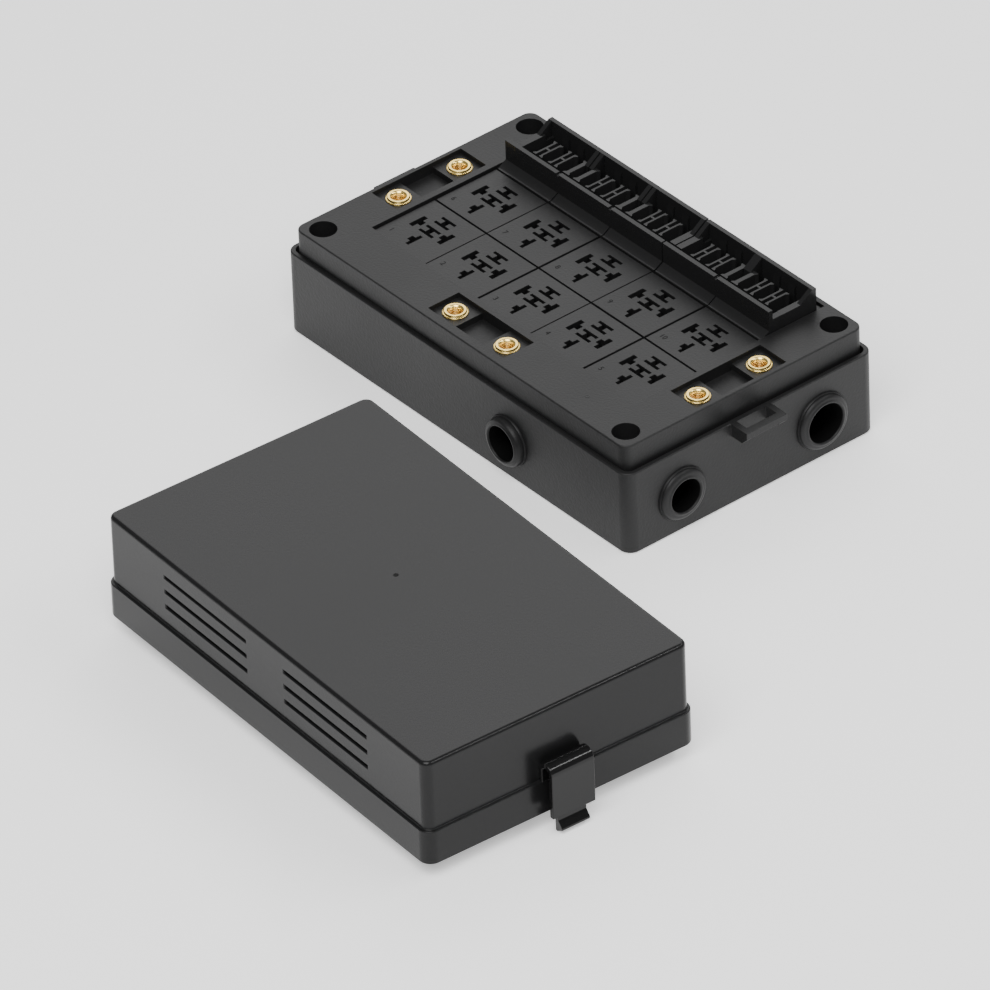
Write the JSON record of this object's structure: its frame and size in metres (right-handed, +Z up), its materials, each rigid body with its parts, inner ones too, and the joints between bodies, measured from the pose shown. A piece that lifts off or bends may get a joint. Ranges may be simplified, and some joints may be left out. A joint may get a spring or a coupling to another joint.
{
  "type": "fuse and relay box",
  "caption": "Open fuse and relay box: tray with cable grommets, top panel with keyed relay sockets, two blade fuse blocks and brass inserts, and its lift-off latching cover beside it.",
  "frame": {"origin": "centre of the tray's bottom face, which stands on the surface", "axes": "+Z up, +X along the box towards the end with two cable grommets, +Y towards the fuse blocks"},
  "size_m": [0.3458, 0.3234, 0.0604],
  "materials": {
    "housing": "matte",
    "black_plastic": "gloss",
    "brass": "satin",
    "rubber": "matte"
  },
  "bodies": {
    "base": {"tray": "housing", "panel": "housing", "relay_socket_1": "housing", "relay_socket_2": "housing", "relay_socket_3": "housing", "relay_socket_4": "housing", "relay_socket_5": "housing", "relay_socket_6": "housing", "relay_socket_7": "housing", "relay_socket_8": "housing", "relay_socket_9": "housing", "relay_socket_10": "housing", "fuse_block_long": "black_plastic", "fuse_block_short": "black_plastic", "insert_front_a": "brass", "insert_front_b": "brass", "insert_left_a": "brass", "insert_left_b": "brass", "insert_right_a": "brass", "insert_right_b": "brass", "grommet_side": "rubber", "grommet_end_small": "rubber", "grommet_end_large": "rubber"},
    "cover": {"cover": "housing", "clip_near": "black_plastic", "clip_far": "black_plastic"},
    "near_tongue": {"tongue_near": "black_plastic"},
    "far_tongue": {"tongue_far": "black_plastic"}
  },
  "joints": [
    {"name": "cover_lift", "type": "slide", "parent": "base", "child": "cover", "axis": [0, 0, 1], "range_m": [0, 0.12]},
    {"name": "near_latch_flex", "type": "hinge", "parent": "cover", "child": "near_tongue", "pos_m": [0.22362, -0.19423, 0.0285], "axis": [0.0576, 0.9983, 0], "range_deg": [0, 6], "stiffness_Nm_per_rad": 0.6},
    {"name": "far_latch_flex", "type": "hinge", "parent": "cover", "child": "far_tongue", "pos_m": [0.00398, -0.18157, 0.0285], "axis": [-0.0576, -0.9983, 0], "range_deg": [0, 6], "stiffness_Nm_per_rad": 0.6}
  ]
}
